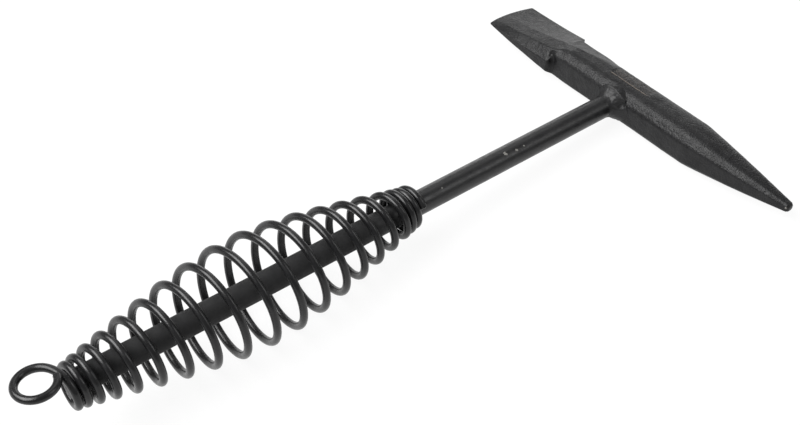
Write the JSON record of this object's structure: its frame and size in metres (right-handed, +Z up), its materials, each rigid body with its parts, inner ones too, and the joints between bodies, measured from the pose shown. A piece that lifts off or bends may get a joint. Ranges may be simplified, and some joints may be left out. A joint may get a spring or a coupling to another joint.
{
  "type": "chipping hammer",
  "caption": "Welder's chipping hammer: forged head with a point and a chisel edge, welded to a round rod with a barrel spring grip and a hanging ring.",
  "frame": {"origin": "middle of the base of the box around the hammer, as it lies on a bench on the spring's belly and the head", "axes": "+X along the hammer from the ring to the head, +Y along the head from the point to the chisel edge, +Z up from the bench; the rod dips 3.8 degrees to the head"},
  "size_m": [0.3104, 0.1708, 0.0447],
  "materials": {
    "head_paint": "black paint over rough forged steel, satin",
    "rod_paint": "black paint over smooth round steel, satin",
    "spring_paint": "black paint over spring wire, semi-gloss",
    "weld_paint": "black paint over weld metal, satin"
  },
  "bodies": {
    "root": {"head": "head_paint", "rod": "rod_paint", "spring_grip": "spring_paint", "head_weld": "weld_paint", "front_tack_weld": "weld_paint", "rear_plug_weld": "weld_paint"}
  },
  "joints": []
}
